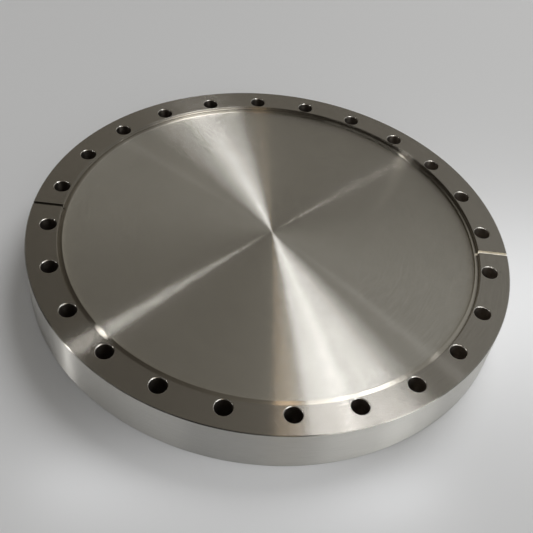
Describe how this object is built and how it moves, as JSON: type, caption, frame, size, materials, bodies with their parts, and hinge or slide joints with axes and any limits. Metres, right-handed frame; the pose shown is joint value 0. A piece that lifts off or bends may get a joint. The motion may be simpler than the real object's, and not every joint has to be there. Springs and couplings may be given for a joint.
{
  "type": "blind flange",
  "caption": "Round blank vacuum flange: a thick turned steel disc with a ring of bolt holes, a gasket recess with a knife edge, and leak-check grooves.",
  "frame": {"origin": "centre of the flat back face, which the flange rests on", "axes": "+Z out of the sealing face along the turning axis; +X along one of the leak-check grooves, midway between two bolt holes"},
  "size_m": [0.2532, 0.2532, 0.0246],
  "materials": {
    "stainless_steel": "fine concentric turning marks on every turned face, satin"
  },
  "bodies": {
    "root": {"blank_flange": "stainless_steel"}
  },
  "joints": []
}
